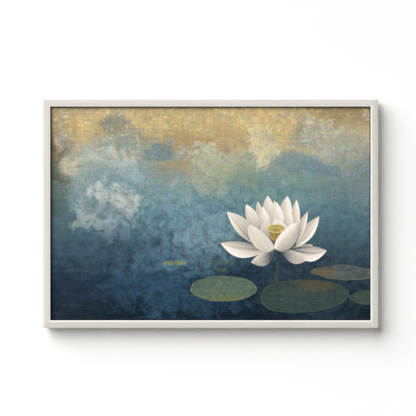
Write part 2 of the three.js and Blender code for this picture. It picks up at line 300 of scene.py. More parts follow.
# %% Group: ragged patch
def ragged_patch():
    tree, take, give = new_group(
        "Ragged patch",
        [("Place", "vector", (0, 0, 0)), ("Centre", "vector", (0, 0, 0)),
         ("Half size", "vector", (0.1, 0.1, 1)), ("Turn", "value", 0.0),
         ("Break-up", "value", 0.5), ("Raggedness", "value", 1.0), ("Softness", "value", 0.4)],
        [("Mask", "value")])
    moved = vector_calc(tree, "SUBTRACT", take["Place"], take["Centre"])
    turned = add(tree, "VectorRotate", {"Vector": moved, "Angle": take["Turn"]},
                 rotation_type="Z_AXIS").outputs[0]
    scaled = vector_calc(tree, "DIVIDE", turned, take["Half size"])
    away = add(tree, "VectorMath", {0: scaled}, operation="LENGTH").outputs["Value"]
    broken = calc(tree, "MULTIPLY", calc(tree, "SUBTRACT", take["Break-up"], 0.5), take["Raggedness"])
    depth = calc(tree, "ADD", calc(tree, "SUBTRACT", 1.0, away), broken)
    below = calc(tree, "MULTIPLY", take["Softness"], -1.0)
    plug(tree, step(tree, depth, below, take["Softness"]), give["Mask"])
    return tree


RAGGED_PATCH = ragged_patch()
print("patch sockets:", [socket.name for socket in RAGGED_PATCH.interface.items_tree])

# %% [markdown]
# ## The ground of the painting
#
# A painter would lay in the large fields first: ochre and gold leaf at the top, mist and sea-green in
# the middle, deep blue water below. A colour ramp up the height of the picture does that. Clouds and
# lights then go over it one by one, each a ragged patch in its own colour. Gold flecks, the fine lines
# of the water and the streaks of the linen come last.

# %% Choose the colours and the clouds
GROUND = [(0.03, "0c1f2e"), (0.14, "172c3f"), (0.25, "233949"), (0.37, "445f6d"), (0.50, "5e7f8a"),
          (0.62, "829d9b"), (0.73, "a8ab98"), (0.83, "c0b08c"), (0.95, "c3b08a")]

# x, z, half width and half height in millimetres from the middle; turn in degrees; colour; strength;
# raggedness; softness
CLOUDS = [
    (-445, 235, 70, 95, 0, "86714e", 0.60, 1.4, 0.6),
    (385, 285, 150, 45, 0, "8a7755", 0.75, 1.4, 0.6),
    (-85, 262, 160, 48, 0, "b9a26e", 0.75, 1.6, 0.5),
    (150, 262, 150, 52, 0, "ceb67b", 0.80, 1.6, 0.5),
    (-330, 250, 80, 50, 0, "c0a56b", 0.75, 1.6, 0.4),
    (-75, 190, 95, 50, 0, "a3895a", 0.85, 1.6, 0.4),
    (35, 205, 100, 40, -10, "b09668", 0.80, 1.6, 0.4),
    (-276, 256, 42, 28, 0, "6c7c7b", 0.85, 2.4, 0.15),
    (-235, 212, 95, 34, 0, "7e8277", 0.75, 2.2, 0.3),
    (-245, 160, 190, 55, 0, "899c9a", 0.75, 2.0, 0.3),
    (-330, 150, 90, 45, 0, "a0aaa1", 0.75, 2.6, 0.2),
    (-300, 165, 62, 26, 8, "b6bcb2", 0.60, 2.8, 0.2),
    (-225, 112, 46, 34, 40, "c0cac6", 0.65, 2.8, 0.2),
    (-455, 155, 48, 70, 0, "5f503a", 0.80, 1.6, 0.4),
    (-398, 145, 36, 32, 0, "bcb39a", 0.75, 1.8, 0.2),
    (-143, 178, 44, 30, 0, "587780", 0.70, 2.4, 0.25),
    (-110, 126, 58, 30, -10, "a48c58", 0.75, 2.2, 0.25),
    (-420, 215, 26, 22, 0, "82837a", 0.70, 2.4, 0.25),
    (-220, 90, 160, 50, 0, "709099", 0.65, 1.8, 0.4),
    (-440, 60, 45, 70, 0, "47574c", 0.80, 1.8, 0.4),
    (-450, -30, 50, 70, 0, "435659", 0.60, 1.8, 0.5),
    (-304, 24, 90, 56, 12, "8b9899", 0.66, 2.2, 0.3),
    (-270, 52, 66, 32, 18, "c6c8c2", 0.55, 2.2, 0.3),
    (-365, -14, 40, 22, -25, "9aa5a0", 0.70, 2.6, 0.2),
    (-300, -30, 34, 20, 20, "a9b2ad", 0.60, 2.6, 0.2),
    (-285, -45, 40, 36, 30, "7f95a0", 0.60, 2.4, 0.3),
    (10, 150, 75, 42, 25, "b2b9a2", 0.80, 2.6, 0.2),
    (0, 96, 74, 42, 0, "a8a98a", 0.65, 2.4, 0.3),
    (90, 118, 60, 40, 10, "989d7e", 0.65, 2.0, 0.3),
    (150, 192, 32, 60, -14, "d3caa8", 0.85, 2.0, 0.12),
    (200, 225, 60, 30, 20, "c2ad76", 0.60, 2.0, 0.3),
    (275, 222, 50, 42, 0, "7c847d", 0.75, 2.0, 0.35),
    (335, 205, 80, 46, 10, "b2b6a7", 0.70, 2.2, 0.3),
    (445, 140, 45, 50, 0, "6c7f86", 0.75, 2.0, 0.4),
    (380, 90, 110, 50, 0, "647f88", 0.50, 1.8, 0.5),
    (400, 170, 70, 60, 0, "8a9892", 0.60, 2.0, 0.3),
    (272, 138, 85, 28, 5, "527f92", 0.75, 2.0, 0.3),
    (170, 85, 130, 50, 0, "668a88", 0.60, 1.8, 0.4),
    (440, 60, 35, 45, 0, "8c9894", 0.60, 2.2, 0.3),
    (400, -30, 110, 120, 0, "55707b", 0.55, 1.6, 0.5),
    (-60, -15, 120, 70, 0, "6f93a0", 0.65, 1.4, 0.6),
    (-15, -62, 75, 58, 0, "7f9da5", 0.60, 1.3, 0.6),
    (-340, -110, 160, 60, 0, "394f5d", 0.60, 1.6, 0.5),
    (-150, -190, 150, 75, 0, "36586f", 0.55, 1.8, 0.5),
    (-60, -250, 120, 50, 0, "315168", 0.50, 1.8, 0.4),
    (-75, -132, 125, 42, 0, "63859a", 0.50, 1.2, 0.7),
    (-420, -240, 120, 90, 0, "1f2f3c", 0.60, 1.4, 0.6),
    (330, -200, 170, 110, 0, "33444f", 0.70, 1.4, 0.6),
]
FLOATING_LEAVES = [
    (-100, -141, 33, 7, 0, "7f8c5c", 0.80, 0.8, 0.25),
    (30, -139, 34, 6, 0, "5f7367", 0.50, 0.9, 0.5),
    (31, -161, 16, 5.5, 0, "647659", 0.75, 0.8, 0.3),
]
print(len(CLOUDS), "clouds and lights over", len(GROUND), "ground colours")


# %% Material: the painted canvas
def put_clouds(tree, place, ground, breakup, patches, dabs):
    """Lay patches over the ground, in order. dabs thins them here and there, as a dry brush does."""
    for x, z, half_x, half_z, turn, code, strength, ragged, soft in patches:
        mask = use(tree, RAGGED_PATCH, {
            "Place": place, "Centre": (x * MM, z * MM, 0), "Half size": (half_x * MM, half_z * MM, 1),
            "Turn": math.radians(turn), "Break-up": breakup, "Raggedness": ragged,
            "Softness": soft})["Mask"]
        thin = calc(tree, "MULTIPLY", calc(tree, "MULTIPLY", mask, strength), dabs)
        ground = mix(tree, thin, ground, colour(code))
    return ground


def put_gold(tree, place, height, ground, breakup):
    """Grey drifts in the sky, gold leaf over them, and a few last flecks where the sky breaks up."""
    grey = calc(tree, "MULTIPLY", step(tree, noise(tree, place, 20.0, 7.0, 0.65), 0.50, 0.62),
                step(tree, height, 0.66, 0.84))
    ground = mix(tree, calc(tree, "MULTIPLY", grey, 0.50), ground, colour("aaa596"))
    flecks = noise(tree, stretched(tree, place, (60, 110, 1)), 1.0, 5.0, 0.7)
    drifts = step(tree, breakup, 0.35, 0.7)
    leaf = calc(tree, "MULTIPLY", step(tree, flecks, 0.49, 0.62),
                calc(tree, "MULTIPLY", step(tree, height, 0.68, 0.93), drifts))
    ground = mix(tree, calc(tree, "MULTIPLY", leaf, 0.75), ground, colour("ead088"))
    specks = noise(tree, stretched(tree, place, (110, 170, 1)), 1.0, 4.0, 0.7)
    falling = calc(tree, "MULTIPLY", step(tree, height, 0.48, 0.62), step(tree, height, 0.86, 0.70))
    patchy = step(tree, noise(tree, place, 9.0, 4.0), 0.46, 0.60)
    amount = calc(tree, "MULTIPLY", step(tree, specks, 0.52, 0.66), calc(tree, "MULTIPLY", falling, patchy))
    return mix(tree, calc(tree, "MULTIPLY", amount, 0.65), ground, colour("b89a5e"))


def put_streaks(tree, place, height, ground):
    """The drag of the brush along the linen, both ways, and level lines on the water."""
    upright = noise(tree, stretched(tree, place, (230, 14, 1)), 1.0, 3.0, 0.6)
    level = noise(tree, stretched(tree, place, (12, 230, 1)), 1.0, 3.0, 0.6)
    speckle = noise(tree, place, 170.0, 4.0, 0.75)
    total = calc(tree, "ADD", calc(tree, "ADD", upright, level), calc(tree, "MULTIPLY", speckle, 2.0))
    ground = mix(tree, 0.45, ground, ramp(tree, calc(tree, "DIVIDE", total, 4.0),
                                          [(0.36, "757575"), (0.64, "dedede")]), "OVERLAY")
    lines = noise(tree, stretched(tree, place, (7, 90, 1)), 1.0, 4.0, 0.6)
    deep = step(tree, height, 0.36, 0.22)
    light = calc(tree, "MULTIPLY", step(tree, lines, 0.55, 0.75), deep)
    dark = calc(tree, "MULTIPLY", step(tree, lines, 0.47, 0.3), deep)
    ground = mix(tree, calc(tree, "MULTIPLY", light, 0.20), ground, colour("5d7d8a"))
    return mix(tree, calc(tree, "MULTIPLY", dark, 0.45), ground, colour("1c2b36"))


# How wide the painted shade under the frame's lip runs, and how far it leans to the lower right.
EDGE_SHADE_WIDTH = 3.6 * MM
EDGE_SHIFT = 1.2 * MM


def painted_edge_shade(tree, place, ground):
    """Painted shade under the lip: a darker line, wider to the right and below, where no real shadow falls.
    """
    shifted = vector_calc(tree, "ADD", place, (EDGE_SHIFT, -EDGE_SHIFT, 0))
    axes = add(tree, "SeparateXYZ", {0: shifted}).outputs
    in_x = calc(tree, "SUBTRACT", sight_half.x, calc(tree, "ABSOLUTE", axes["X"]))
    in_z = calc(tree, "SUBTRACT", sight_half.z, calc(tree, "ABSOLUTE", axes["Y"]))
    shade = step(tree, calc(tree, "MINIMUM", in_x, in_z), 0.0, EDGE_SHADE_WIDTH, 0.6, 0.0)
    return mix(tree, shade, ground, colour("161b1e"))


def painted_canvas():
    material, tree, shader = new_material("Painted canvas", Roughness=0.62, **{"Specular IOR Level": 0.12})
    flat = use(tree, PICTURE_PLACE, {"Position": object_place(tree)})
    place, height = flat["Place"], flat["Height"]
    billow = place
    for scale, reach in ((13.0, 0.075), (55.0, 0.020)):
        swirl = add(tree, "TexNoise", {"Vector": place, "Scale": scale, "Detail": 5.0}).outputs["Color"]
        sideways = vector_calc(tree, "SUBTRACT", swirl, (0.5, 0.5, 0.5))
        billow = vector_calc(tree, "ADD", billow, stretched(tree, sideways, (reach, reach, 0)))
    coarse = noise(tree, billow, 10.0, 10.0, 0.70)
    fine = noise(tree, billow, 40.0, 8.0, 0.72)
    breakup = calc(tree, "MULTIPLY_ADD", calc(tree, "SUBTRACT", fine, 0.5), 0.8, coarse)
    dabs = step(tree, fine, 0.34, 0.58, 0.55, 1.0)
    swayed = calc(tree, "MULTIPLY_ADD", calc(tree, "SUBTRACT", breakup, 0.5), 0.24, height)
    ground = ramp(tree, swayed, GROUND)
    ground = put_clouds(tree, billow, ground, breakup, CLOUDS, dabs)
    ground = put_clouds(tree, place, ground, breakup, FLOATING_LEAVES, dabs)
    ground = put_gold(tree, place, height, ground, breakup)
    ground = mix(tree, 0.42, ground, ramp(tree, fine, [(0.3, "747474"), (0.7, "eaeaea")]), "OVERLAY")
    tints = add(tree, "TexNoise", {"Vector": billow, "Scale": 60.0, "Detail": 5.0}).outputs["Color"]
    ground = mix(tree, 0.16, ground, tints, "OVERLAY")
    ground = put_streaks(tree, place, height, ground)
    # The painted shade under the frame's lip goes on last.
    plug(tree, painted_edge_shade(tree, place, ground), shader["Base Color"])
    weave = use(tree, LINEN_WEAVE, {"Place": place})
    paint = bump(tree, breakup, 0.25, 0.002)
    plug(tree, bump(tree, weave["Height"], 0.35, 0.0003, paint), shader["Normal"])
    return material


PAINTED_CANVAS = painted_canvas()
print("nodes in the painting:", len(PAINTED_CANVAS.node_tree.nodes))

# %% [markdown]
# ## Helpers for meshes
#
# Most pieces here start as lists of points that are joined into faces with *bmesh*, Blender's library
# for editing a mesh in code. Every piece is closed, so that it also works as a solid. Edges flatter than
# a set angle are shaded smooth, and sharper ones stay crisp.

# %% Helpers that finish a mesh
def finish_piece(bm, name, materials, body=BODY, smooth_below=35):
    """Turn a bmesh into an object that rides on a body."""
    bmesh.ops.recalc_face_normals(bm, faces=bm.faces)
    for face in bm.faces:
        face.smooth = True
    for edge in bm.edges:
        edge.smooth = edge.calc_face_angle(0) < math.radians(smooth_below)
    mesh = bpy.data.meshes.new(name)
    bm.to_mesh(mesh)
    bm.free()
    for material in materials:
        mesh.materials.append(material)
    piece = bpy.data.objects.new(name, mesh)
    bpy.context.scene.collection.objects.link(piece)
    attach(piece, body)
    return piece


def bridge(bm, first, second):
    """Quads between two closed rings of vertices."""
    count = len(first)
    return [bm.faces.new((first[i], first[(i + 1) % count], second[(i + 1) % count], second[i]))
            for i in range(count)]


def arc(centre, radius, start, end, steps):
    """Points on an arc, in degrees."""
    turns = [math.radians(start + (end - start) * i / steps) for i in range(steps + 1)]
    return [(centre[0] + radius * math.cos(a), centre[1] + radius * math.sin(a)) for a in turns]


def rounded(points, steps=4):
    """A closed outline from (x, y, radius) corners, with each corner rounded."""
    outline = []
    for i, (x, y, radius) in enumerate(points):
        here = Vector((x, y))
        before = (Vector(points[i - 1][:2]) - here).normalized()
        after = (Vector(points[(i + 1) % len(points)][:2]) - here).normalized()
        if radius == 0:
            outline.append(here)
            continue
        half = before.angle(after) / 2
        reach = radius / math.tan(half)
        centre = here + (before + after).normalized() * radius / math.sin(half)
        start, end = here + before * reach - centre, here + after * reach - centre
        turn = start.angle_signed(end)
        for k in range(steps + 1):
            a = -turn * k / steps
            outline.append(centre + Vector((start.x * math.cos(a) - start.y * math.sin(a),
                                            start.x * math.sin(a) + start.y * math.cos(a))))
    return outline


print("mesh helpers ready")

# %% [markdown]
# ## The moulding
#
# The real frame is four lengths of planed softwood, mitred at the corners and painted in a satin
# off-white through which the grain only just shows. The construction's rails have sharp arrises; a
# painted rail never does. So each rail is drawn again with the same section and a small radius on
# every corner, because it is those radii that catch the light. A rail has four finishes: off-white on
# its face and its outside; a lighter tone as painted highlight on the sloping bevel at the sight and on
# the rounded arrises; a dark tone as painted shade on the lip's inner side beside the canvas; and bare
# wood on the back and in the rebate.

# %% Materials: painted and bare wood
def grain_along(tree, axis):
    """The object's place turned so that X runs along the board."""
    axes = add(tree, "SeparateXYZ", {0: object_place(tree)}).outputs
    order = {"X": ("X", "Y", "Z"), "Z": ("Z", "Y", "X")}[axis]
    return add(tree, "CombineXYZ", dict(zip("XYZ", (axes[name] for name in order)))).outputs[0]


def frame_paint(part, axis, dark, light):
    material, tree, shader = new_material(f"Off-white paint, {part}, grain along {axis}")
    place = grain_along(tree, axis)
    grain = use(tree, WOOD_GRAIN, {"Place": place, "Ring spacing": 0.009})
    cloudy = noise(tree, place, 14.0, 5.0)
    tone = calc(tree, "MULTIPLY_ADD", cloudy, 0.4, calc(tree, "MULTIPLY", grain["Tone"], 0.6))
    plug(tree, ramp(tree, tone, [(0.25, dark), (0.75, light)]), shader["Base Color"])
    gloss = use(tree, HANDLING, {"Place": place, "Low": 0.38, "High": 0.55})
    plug(tree, gloss["Value"], shader["Roughness"])
    plug(tree, bump(tree, grain["Height"], 0.12, 0.0004), shader["Normal"])
    return material


def bare_wood(name, axis, stops, spacing):
    material, tree, shader = new_material(name, Roughness=0.7)
    place = grain_along(tree, axis)
    grain = use(tree, WOOD_GRAIN, {"Place": place, "Ring spacing": spacing})
    plug(tree, ramp(tree, grain["Tone"], stops), shader["Base Color"])
    softened = add(tree, "Bevel", {"Radius": 0.0006}, samples=4).outputs[0]
    plug(tree, bump(tree, grain["Height"], 0.25, 0.0004, softened), shader["Normal"])
    return material


PINE = [(0.15, "a97c4b"), (0.4, "cda471"), (0.6, "dcb888"), (0.85, "e6c89c")]
FRAME_PAINT = {axis: frame_paint("face", axis, "d3d1c9", "dbd9d2") for axis in "XZ"}
# A painted highlight: a lighter tone on the sloping bevel and on the rounded arrises.
EDGE_HIGHLIGHT_PAINT = {axis: frame_paint("sight edge", axis, "eceae4", "f3f1ec") for axis in "XZ"}
# Painted shade: a dark tone on the lip's inner side, beside the canvas.
LIP_SHADE_PAINT = {axis: frame_paint("inner lip", axis, "3d3c38", "4a4945") for axis in "XZ"}
BARE_PINE = {axis: bare_wood(f"Bare pine, grain along {axis}", axis, PINE, 0.007) for axis in "XZ"}
print("wood finishes:", 2 * len((FRAME_PAINT, EDGE_HIGHLIGHT_PAINT, LIP_SHADE_PAINT, BARE_PINE)))

# %% Build the four rails
FACE, EDGE_HIGHLIGHT, LIP_SHADE, BARE = range(4)
OUTER_ROUND = 0.8 * MM
BEVEL_WIDTH = 4 * MM
BEVEL_DROP = 0.6 * MM
LIP_DEPTH = 7.5 * MM
REBATE = 7 * MM
MITRE_GAP = 0.1 * MM


def moulding_outline():
    """The rail's section: distance in from the outer edge, and Y."""
    front, back, band = rail_low.y, rail_high.y, FACE_WIDTH - REBATE
    return rounded([
        (0, front, OUTER_ROUND), (FACE_WIDTH - BEVEL_WIDTH, front, 1.5 * MM),
        (FACE_WIDTH, front + BEVEL_DROP, 0.5 * MM), (FACE_WIDTH, front + LIP_DEPTH, 0.3 * MM),
        (band, front + LIP_DEPTH, 0), (band, back, 0.4 * MM), (0, back, OUTER_ROUND)])


def paint_on(inward, behind):
    """Which finish a face has, from its distance in from the outer edge and behind the front, in mm."""
    face, depth = FACE_WIDTH / MM, (rail_high.y - rail_low.y) / MM
    # The rounded arrises take the painted highlight.
    if max(inward, behind) < OUTER_ROUND / MM:
        return EDGE_HIGHLIGHT
    if behind > depth - 0.05 or (behind > LIP_DEPTH / MM - 0.1 and inward > face - REBATE / MM - 0.1):
        return BARE
    # The lip's inner side takes the painted shade.
    if inward > face - 0.1 and behind > BEVEL_DROP / MM + 0.4:
        return LIP_SHADE
    # The sloping bevel takes the painted highlight.
    return EDGE_HIGHLIGHT if inward > face - BEVEL_WIDTH / MM + 0.3 else FACE


def rail(name, along, half_length, outer, sign):
    """One mitred rail. outer is its outer edge's distance from the middle, on the side of sign."""
    bm = bmesh.new()
    ends = []
    for end in (-1, 1):
        ring = []
        for inward, y in moulding_outline():
            run, across = end * (half_length - MITRE_GAP - inward), sign * (outer - inward)
            ring.append(bm.verts.new((run, y, middle.z + across) if along == "X"
                                     else (across, y, middle.z + run)))
        ends.append(ring)
    bridge(bm, *ends)
    for ring in ends:
        bm.faces.new(ring)
    for face in bm.faces:
        spot = face.calc_center_median()
        across = sign * (spot.z - middle.z) if along == "X" else sign * spot.x
        face.material_index = paint_on((outer - across) / MM, (spot.y - rail_low.y) / MM)
    paints = [FRAME_PAINT[along], EDGE_HIGHLIGHT_PAINT[along], LIP_SHADE_PAINT[along], BARE_PINE[along]]
    piece = finish_piece(bm, name, paints)
    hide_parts(name.replace("moulding", "frame_rail"))
    return piece


rails = [rail("moulding_bottom", "X", outer_half.x, outer_half.z, -1),
         rail("moulding_top", "X", outer_half.x, outer_half.z, 1),
         rail("moulding_left", "Z", outer_half.z, outer_half.x, -1),
         rail("moulding_right", "Z", outer_half.z, outer_half.x, 1)]
print("rails:", [piece.name for piece in rails])

# %% [markdown]
# ## The canvas
#
# The cloth is one piece. It is painted on the front, turned over the stretcher's outer edges, and
# stapled to the back, where its raw edge shows. Cloth pulled this tight has no folds except at the
# corners, so a simulation would add nothing: the sheet is drawn as a shallow tray with a turned-in rim,
# ring by ring, and the folded corners and staples are laid on it afterwards.

# %% Material: primed cotton
def primed_cotton():
    material, tree, shader = new_material("Primed cotton", Roughness=0.85)
    axes = add(tree, "SeparateXYZ", {0: object_place(tree)}).outputs
    flat = add(tree, "CombineXYZ", {"X": axes["X"], "Y": axes["Z"], "Z": axes["Y"]}).outputs[0]
    weave = use(tree, LINEN_WEAVE, {"Place": flat, "Threads per metre": 900.0})
    stain = noise(tree, flat, 9.0, 6.0)
    tone = calc(tree, "MULTIPLY_ADD", weave["Slubs"], 0.6, calc(tree, "MULTIPLY", stain, 0.4))
    plug(tree, ramp(tree, tone, [(0.35, "c3b79d"), (0.5, "d6ccb6"), (0.65, "e2dac8")]),
         shader["Base Color"])
    plug(tree, bump(tree, weave["Height"], 0.5, 0.0003), shader["Normal"])
    return material


PRIMED_COTTON = primed_cotton()

# %% Build the stretched canvas
CLOTH = 0.8 * MM
TURN_OVER = 26 * MM
CORNER_STEPS = 4
cloth_back = bar_high.y + 1.1 * MM
cloth_half = (canvas_high - canvas_low) / 2


def cloth_ring(bm, inset, y, radius):
    """A rectangle with rounded corners, that far in from the canvas's edge."""
    ring = []
    for corner, (sx, sz) in enumerate([(1, 1), (-1, 1), (-1, -1), (1, -1)]):
        centre = (sx * (cloth_half.x - inset - radius), sz * (cloth_half.z - inset - radius))
        for x, z in arc(centre, radius, 90 * corner, 90 * corner + 90, CORNER_STEPS):
            ring.append(bm.verts.new((x, y, middle.z + z)))
    return ring


def lay_flat(face, uv_layer, low, size):
    """Spread a face that is parallel to the wall over a rectangle of the UV square."""
    for loop in face.loops:
        across = (loop.vert.co.x / cloth_half.x + 1) / 2
        up = ((loop.vert.co.z - middle.z) / cloth_half.z + 1) / 2
        loop[uv_layer].uv = (low[0] + size[0] * across, low[1] + size[1] * up)


def stretched_canvas():
    bm = bmesh.new()
    outside = [(1.2, painted_face, 1.0), (0.4, painted_face + 0.2 * MM, 1.6),
               (0, painted_face + 1.0 * MM, 2.0), (0, cloth_back - 1.0 * MM, 2.0),
               (0.4, cloth_back - 0.2 * MM, 1.6), (1.2, cloth_back, 1.0),
               (TURN_OVER / MM, cloth_back, 0.3)]
    inside = [(TURN_OVER / MM, cloth_back - CLOTH, 0.3), (1.2, cloth_back - CLOTH, 1.0),
              (0.8, cloth_back - 1.4 * MM, 1.2), (0.8, painted_face + 1.4 * MM, 1.2),
              (1.2, painted_face + CLOTH, 1.0)]
    rings = [cloth_ring(bm, inset * MM, y, radius * MM) for inset, y, radius in outside + inside]
    # The UV square holds the painted face at its top, the back below it and the edges beside that.
    uv_layer = bm.loops.layers.uv.new("OFBake")
    lay_flat(bm.faces.new(rings[0]), uv_layer, (0.005, 0.395), (0.99, 0.60))
    bands = len(rings) - 1
    for band, (first, second) in enumerate(zip(rings, rings[1:])):
        low = 0.01 + 0.37 * band / bands
        for i, face in enumerate(bridge(bm, first, second)):
            face.material_index = 1
            left, right = (0.62 + 0.37 * k / len(first) for k in (i, i + 1))
            corners = [(left, low), (right, low), (right, low + 0.028), (left, low + 0.028)]
            for loop, corner in zip(face.loops, corners):
                loop[uv_layer].uv = corner
    back = bm.faces.new(rings[-1])
    back.material_index = 1
    lay_flat(back, uv_layer, (0.005, 0.01), (0.60, 0.37))
    return finish_piece(bm, "stretched_canvas", [PAINTED_CANVAS, PRIMED_COTTON])


canvas = stretched_canvas()
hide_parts("canvas")

# %% [markdown]
# ## The lotus
#
# On the canvas the flower is thick, smooth paint that stands a little proud. Each petal is a small
# closed shape: two curved edges from its base to its tip, a gently domed or dished face, and a skirt
# down to the cloth. Petals lie over each other in the order in which they were painted. The painted
# light and shade is worked out as if the petal were a real one lit from the upper left, and kept on
# the mesh as a number, so that one material can serve them all.

# %% Material: petal paint
def petal_paint():
    material, tree, shader = new_material("Petal paint", Roughness=0.48)
    shade = add(tree, "Attribute", attribute_name="shade").outputs["Fac"]
    uv = add(tree, "UVMap", uv_map="UVMap").outputs[0]
    veins = noise(tree, stretched(tree, uv, (26, 1.6, 1)), 1.0, 3.0, 0.6)
    flat = use(tree, PICTURE_PLACE, {"Position": object_place(tree)})["Place"]
    dabs = noise(tree, flat, 90.0, 4.0)
    lifted = calc(tree, "MULTIPLY_ADD", calc(tree, "SUBTRACT", veins, 0.5), 0.42, shade)
    lifted = calc(tree, "MULTIPLY_ADD", calc(tree, "SUBTRACT", dabs, 0.5), 0.12, lifted)
    tones = [(0.0, "4c5458"), (0.2, "868784"), (0.42, "b5afa5"), (0.60, "d2c7b8"), (0.77, "e9dfd1"),
             (0.94, "faf4e9")]
    plug(tree, ramp(tree, lifted, tones), shader["Base Color"])
    ridges = calc(tree, "MULTIPLY_ADD", dabs, 0.5, veins)
    plug(tree, bump(tree, ridges, 0.35, 0.0006), shader["Normal"])
    return material


PETAL_PAINT = petal_paint()

# %% [markdown]
# A petal's outline is a sine curve with its peak moved to the widest point. Raising it to a power below
# one makes the petal fuller. *Cup* says which way the face curves: positive is a petal seen from
# outside, and negative is one that we look into.

# %% Helper: one petal
heart = Vector((middle.x + 0.40 * sight_half.x, 0, middle.z - 0.335 * sight_half.z))
LAYER = 0.22 * MM
THINNEST = 0.2 * MM
DOME = 0.45 * MM
SKIRT_GAP = 0.02 * MM
LIGHT = Vector((-0.48, 0.62, 0.62)).normalized()  # across, up, towards the viewer


def smooth_step(low, high, value):
    t = min(max((value - low) / (high - low), 0), 1)
    return t * t * (3 - 2 * t)


def painted_shade(side, along, axis, normal, form):
    """The painter's light on a petal, from 0 to 1. side runs from -1 to 1 and along from 0 to 1."""
    lean = normal * (form["cup"] * side) + axis * (form["lean"] * (along - 0.5))
    facing = Vector((lean.x, lean.y, 1)).normalized()
    lit = max(0, facing.dot(LIGHT))
    value = 0.18 + 0.92 * lit + form["tone"]
    value -= form["deep"] * (1 - smooth_step(0, 0.75, along))
    value += 0.10 * smooth_step(0.75, 1, abs(side)) + 0.08 * smooth_step(0.6, 1, along)
    if form["fold"]:
        past = side * math.copysign(1, form["fold"]) - abs(form["fold"])
        value += 0.16 * smooth_step(-0.02, 0.10, past) - 0.26 * math.exp(-(past / 0.10) ** 2)
    return min(max(value, 0), 1)


def petal(name, base, tip, left, right, layer, belly=0.5, full=0.9, **form):
    """A petal from base to tip, in mm from the flower's heart, with its width on each side."""
    form = {"cup": -0.4, "lean": 0.2, "tone": 0.0, "deep": 0.2, "fold": 0} | form
    start, end = Vector(base), Vector(tip)
    axis = (end - start).normalized()
    normal = Vector((-axis.y, axis.x))
    bend = math.log(0.5) / math.log(belly)
    longways, sideways = 26, 14
    bm = bmesh.new()
    uv_layer = bm.loops.layers.uv.new("UVMap")
    shade_layer = bm.verts.layers.float.new("shade")
    top, under, spots = [], [], {}
    for i in range(longways + 1):
        along = i / longways
        wide = max(math.sin(math.pi * along ** bend), 0.0) ** full + 0.012
        for j in range(sideways + 1):
            side = 1 - 2 * j / sideways
            reach = (left if side > 0 else right) * wide * side
            spot = start.lerp(end, along) + normal * reach
            dome = (1 - side * side) if form["cup"] > 0 else 0.35 + 0.65 * side * side
            crown = math.sin(math.pi * min(along + 0.08, 1)) ** 0.5
            rise = layer * LAYER + THINNEST + DOME * dome * crown
            x, z = heart.x + spot.x * MM, heart.z + spot.y * MM
            shade = painted_shade(side, along, axis, normal, form)
            for verts, y in ((top, painted_face - rise), (under, painted_face - SKIRT_GAP)):
                vert = bm.verts.new((x, y, z))
                vert[shade_layer] = shade
                spots[vert] = ((side + 1) / 2, along)
                verts.append(vert)
    across = sideways + 1
    for verts in (top, under):
        for i in range(longways):
            for j in range(sideways):
                k = i * across + j
                bm.faces.new((verts[k], verts[k + 1], verts[k + 1 + across], verts[k + across]))
    rim = (list(range(sideways)) + [i * across + sideways for i in range(longways)]
           + [longways * across + j for j in range(sideways, 0, -1)]
           + [i * across for i in range(longways, 0, -1)])
    bridge(bm, [top[k] for k in rim], [under[k] for k in rim])
    for face in bm.faces:
        for loop in face.loops:
            loop[uv_layer].uv = spots[loop.vert]
    return finish_piece(bm, f"lotus_{name}", [PETAL_PAINT], smooth_below=60)


heart_mm = ((heart.x - middle.x) / MM, (heart.z - middle.z) / MM)
print("flower's heart, mm from the middle:", [round(part) for part in heart_mm])

# %% Paint the petals, from the back to the front
petals = [
    petal("far_right_back", (50, 5), (110, 13), 6, 12, 0, tone=-0.30, deep=0.2),
    petal("far_right_low", (34, 1), (149, -4), 11, 33, 1, belly=0.6, cup=-0.5, tone=-0.16, deep=0.6,
          fold=-0.30),
    petal("far_left_low", (-10, -4), (-154, 18), 33, 12, 1, belly=0.58, cup=-0.5, tone=-0.16,
          deep=0.35, fold=0.22),
    petal("front_low_left", (4, -3), (-67, -38), 26, 10, 2, belly=0.55, cup=0.3, deep=0.6, tone=-0.22),
    petal("front_low_right", (14, -3), (95, -30), 11, 23, 2, belly=0.58, cup=0.3, deep=0.6, tone=-0.14),
    petal("back_left_sliver", (-36, 60), (-48, 137), 11, 11, 0, tone=-0.16),
    petal("back_middle_sliver", (-6, 70), (0, 140), 9, 10, 0, tone=-0.18),
    petal("back_tall_left", (-12, 63), (-20, 153), 17, 17, 1, tone=-0.04, belly=0.52),
    petal("back_tall_right", (28, 63), (37, 152), 18, 17, 1, tone=0.0, belly=0.52),
    petal("side_right_outer", (60, 6), (128, 94), 17, 19, 1, belly=0.48, tone=-0.04, deep=0.2,
          fold=-0.45),
    petal("side_left_outer", (-62, 17), (-136, 107), 14, 28, 1, belly=0.48, tone=-0.08, deep=0.35,
          fold=0.10),
    petal("side_right_inner", (62, 15), (95, 107), 15, 9, 2, belly=0.5, tone=-0.06, deep=0.25),
    petal("back_right", (54, 30), (63, 141), 13, 14, 2, belly=0.5, full=0.75, tone=-0.03, deep=0.3),
    petal("back_left", (-50, 40), (-81, 128), 13, 21, 2, belly=0.5, full=0.8, tone=-0.02, deep=0.35),
    petal("inner_left", (-25, 36), (-34, 122), 14, 16, 3, belly=0.5, tone=0.02, deep=0.25),
    petal("inner_right", (40, 40), (38, 124), 14, 14, 3, belly=0.5, tone=0.03, deep=0.25),
    petal("inner_middle", (7, 40), (6, 135), 19, 20, 4, belly=0.5, tone=0.04, deep=0.3),
    petal("bowl", (-2, 0), (-4, 88), 40, 42, 5, belly=0.55, full=0.6, cup=-0.2, tone=-0.10, deep=0.75),
    petal("front_left", (-1, -1), (-72, 70), 32, 12, 8, belly=0.43, full=0.56, cup=0.55, tone=0.02,
          deep=0.14, lean=-0.2),
    petal("front_right", (3, -1), (64, 74), 17, 31, 8, belly=0.44, full=0.52, cup=0.5, tone=0.02,
          deep=0.12, lean=-0.2),
]
print("petals:", len(petals))

